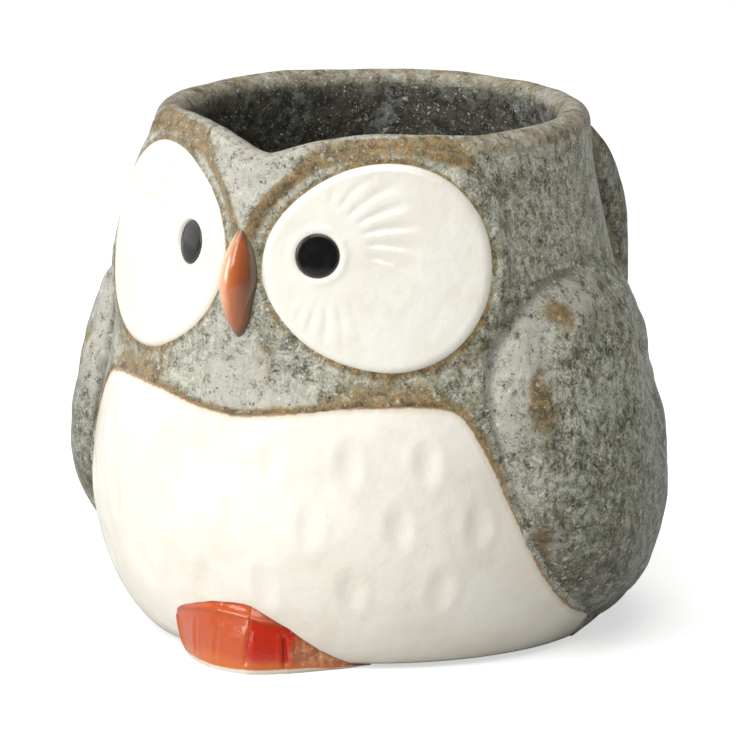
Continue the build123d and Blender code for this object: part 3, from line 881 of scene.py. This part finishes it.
RED, tree, shader = start_material("red_glaze", coat=0.45, coat_roughness=0.05)
shader.inputs["Specular IOR Level"].default_value = 0.35
mm = in_mm(tree, spot(tree))
cloud = noise(tree, mm, 0.22, 5, 0.6)
across = ragged(tree, value(tree, "across"), cloud, 3.0)
high = ragged(tree, value(tree, "high"), cloud, 0.24)
red = blend(tree, step_mask(tree, across, 2.6, 3.5), ORANGE, SCARLET)
thin = blend(tree, step_mask(tree, noise(tree, mm, 0.9, 4), 0.42, 0.60), BROWN_DEEP, BROWN_PALE)
red = blend(tree, step_mask(tree, across, 8.8, 10.6), red, thin)
red = blend(tree, step_mask(tree, across, -8.0, -12.0), red, ORANGE_END)
red = blend(tree, times(tree, step_mask(tree, high, 0.36, 0.16), 0.70), red, ORANGE_LOW)
band = blend(tree, step_mask(tree, across, 2.0, 9.0), BAND_NEAR, BAND_FAR)
red = blend(tree, step_mask(tree, value(tree, "high"), 0.90, 0.97), red, band)
crest = calc(tree, "ABSOLUTE", calc(tree, "SUBTRACT", value(tree, "high"), 0.92))
red = blend(tree, times(tree, step_mask(tree, crest, 0.05, 0.0), 0.25), red, CREST_LINE)
join = times(tree, step_mask(tree, value(tree, "proud"), 0.6, 0.1), 0.55)
red = blend(tree, join, red, BELLY_LINE)
specks = times(tree, dots(tree, mm, 1.1, 0.32, 0.35), step_mask(tree, across, 8.0, 10.0))
red = blend(tree, times(tree, specks, 0.75), red, BROWN_SPECK)
wiped = step_mask(tree, ragged(tree, value(tree, "up"), cloud, 0.6), 1.05, 0.70)
red = blend(tree, wiped, red, WIPED)
tree.links.new(red, shader.inputs["Base Color"])
tree.links.new(calc(tree, "MULTIPLY_ADD", cloud, 0.25, 0.10), shader.inputs["Roughness"])
bump(tree, shader, cloud, 0.00025)
for side, name in ((1, "left_foot"), (-1, "right_foot")):
    foot = skin(name + "_toes", foot_grid(side), wrap=False)
    paint(foot, "across", lambda P: P[:, 0])
    paint(foot, "high", foot_high)
    paint(foot, "proud", foot_proud)
    paint(foot, "up", lambda P: P[:, 2] + 0.5 * ease((P[:, 0] - 9) / 6))
    foot.data.materials.append(RED)
    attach(foot, "root")
    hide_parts(name)

# ==================================================================== handle
# A pulled strap, flat and rounded, luted to the back below the lip and again low on the belly, with
# clay smeared out at both ends. Same ash glaze, rusty along its edges.
STRAP_W, STRAP_T, STRAP_SQUARE = 19.0, 9.4, 2 / 2.8
# the middle of the strap, as back and up
STRAP = np.array([(35, 78.2), (51, 77.8), (63.5, 73), (71.2, 64), (73.8, 53), (71.8, 42.5), (64, 32.5),
                  (45, 22)])


def strap_grid():
    """Sections carried along a smooth curve in the plane of the beak: a superellipse of power 2.8,
    wider and thicker by a short bell at both ends."""
    line = along(STRAP, 170)
    slope = np.gradient(line, axis=0)
    slope /= np.linalg.norm(slope, axis=1, keepdims=True)
    s = np.linspace(0, 1, len(line))[:, None]
    flare = bell((s - 0.06) / 0.07) + bell((s - 0.94) / 0.07)
    t = np.linspace(0, 2 * pi, 120, endpoint=False)[None, :]
    cx, cy = bulge(np.cos(t), STRAP_SQUARE), bulge(np.sin(t), STRAP_SQUARE)
    w, thick = 0.5 * STRAP_W + 1.8 * flare, 0.5 * STRAP_T + 1.2 * flare
    x = w * cx
    off = thick * cy * (1 - 0.10 * (cy > 0) * (1 - np.abs(cx)))
    y = line[:, :1] + off * -slope[:, 1:]
    z = line[:, 1:] + off * slope[:, :1]
    P = np.stack([x, y, z], -1)
    return lift(P, 0.22 * lattice(P, 8, 21) + 0.10 * lattice(P, 3.2, 22))


def strap_rust(P):
    """Rust along both edges of the strap and over the top of its bend."""
    return np.clip(0.55 * bell((np.abs(P[:, 0]) - 8.6) / 1.1) + 0.35 * bell((P[:, 2] - 74) / 5), 0, 1)


def strap_painted_shade(P):
    """Painted shade: darker than the cup, most of all on the side that faces it, which the cup shades."""
    return 0.34 + 0.35 * ease((70.5 - P[:, 1]) / 3) * bell((P[:, 2] - 53) / 18)


handle = skin("handle_strap", strap_grid(), caps=(True, True))
paint(handle, "rust", strap_rust)
paint(handle, "pale", lambda P: np.full(len(P), 0.05))
paint(handle, "dark", strap_painted_shade)
handle.data.materials.append(ash_material("ash_glaze_handle"))
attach(handle, "root")
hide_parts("handle")

# ==================================================================== foot ring
# The ring the mug stands on: bare fired clay, sanded flat, warm brown with fine grog.
CLAY, tree, shader = start_material("bare_clay", roughness=0.85)
here = spot(tree)
grog = noise(tree, here, 900, 5, 0.7)
toast = noise(tree, here, 60, 3)
clay = blend(tree, step_mask(tree, toast, 0.4, 0.65), (0.36, 0.25, 0.17), (0.46, 0.34, 0.24))
clay = blend(tree, times(tree, step_mask(tree, grog, 0.58, 0.72), 0.6), clay, (0.16, 0.10, 0.07))
tree.links.new(clay, shader.inputs["Base Color"])
bump(tree, shader, grog, 0.0002)
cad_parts["foot_ring"].data.materials.clear()
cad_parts["foot_ring"].data.materials.append(CLAY)

# ==================================================================== studio
# A wide white table, lit so that it reads as white to the camera, under soft box lights: a large one in
# front to the owl's right, a panel at its right side, one overhead and a weak fill. Then the camera.


TABLE_R, TABLE_GLOW = 30000, 0.60


def table_grid():
    """Flat rings round the mug, each wider than the last by the same share."""
    r = np.geomspace(4, TABLE_R, 40)[:, None]
    t = np.linspace(0, 2 * pi, 64, endpoint=False)[None, :]
    return np.stack(np.broadcast_arrays(r * np.cos(t), r * np.sin(t), 0 * r * t), -1)


table = skin("white_table", table_grid(), caps=(True, False))
TABLE, tree, shader = start_material("table_white", roughness=0.9)
paper = blend(tree, noise(tree, spot(tree), 3, 2), (0.62, 0.62, 0.61), (0.66, 0.66, 0.65))
tree.links.new(paper, shader.inputs["Base Color"])
tree.links.new(put(tree, "ShaderNodeLightPath").outputs["Is Camera Ray"], shader.inputs["Emission Color"])
shader.inputs["Emission Strength"].default_value = TABLE_GLOW
table.data.materials.append(TABLE)


LIGHT_AIM = (0, 0, 0.05)


def soft_light(name, at, size, power):
    """Area light at a point, turned to face the mug; sizes in metres, power in watts."""
    lamp = bpy.data.lights.new(name, "AREA")
    lamp.shape, lamp.size, lamp.size_y = "RECTANGLE", size[0], size[1]
    lamp.energy = power
    holder = bpy.data.objects.new(name, lamp)
    holder.location = at
    holder.rotation_euler = (Vector(LIGHT_AIM) - Vector(at)).to_track_quat("-Z", "Y").to_euler()
    bpy.context.scene.collection.objects.link(holder)


soft_light("key_box", (-0.40, -0.80, 0.46), (0.65, 0.6), 7.9)
soft_light("side_panel", (-0.95, 0.10, 0.28), (0.8, 0.8), 2.2)
soft_light("top_box", (0.0, -0.05, 1.0), (0.8, 0.8), 4.8)
soft_light("fill_box", (0.45, -0.62, 0.80), (0.5, 0.5), 3.6)
world = bpy.data.worlds.new("studio_air")
world.use_nodes = True
air = next(n for n in world.node_tree.nodes if n.type == "BACKGROUND")
seen = put(world.node_tree, "ShaderNodeLightPath").outputs["Is Camera Ray"]
world.node_tree.links.new(blend(world.node_tree, seen, (0.17, 0.17, 0.17), (1, 1, 1)), air.inputs["Color"])
bpy.context.scene.world = world
bpy.context.scene.view_settings.view_transform = "Standard"

CAM_AZ, CAM_EL, CAM_FAR, CAM_LENS = radians(30), radians(12), 1.6, 453.9
AIM_ASIDE, AIM_UP = -0.00078, 0.0439
AIM = Vector((AIM_ASIDE * cos(CAM_AZ), AIM_ASIDE * sin(CAM_AZ), AIM_UP))
lens = bpy.data.cameras.new("camera")
lens.lens, lens.sensor_width = CAM_LENS, 36.0
lens.clip_start, lens.clip_end = 0.05, 20
camera = bpy.data.objects.new("camera", lens)
out_dir = Vector((sin(CAM_AZ) * cos(CAM_EL), -cos(CAM_AZ) * cos(CAM_EL), sin(CAM_EL)))
camera.location = AIM + CAM_FAR * out_dir
camera.rotation_euler = (-out_dir).to_track_quat("-Z", "Y").to_euler()
bpy.context.scene.collection.objects.link(camera)
bpy.context.scene.camera = camera
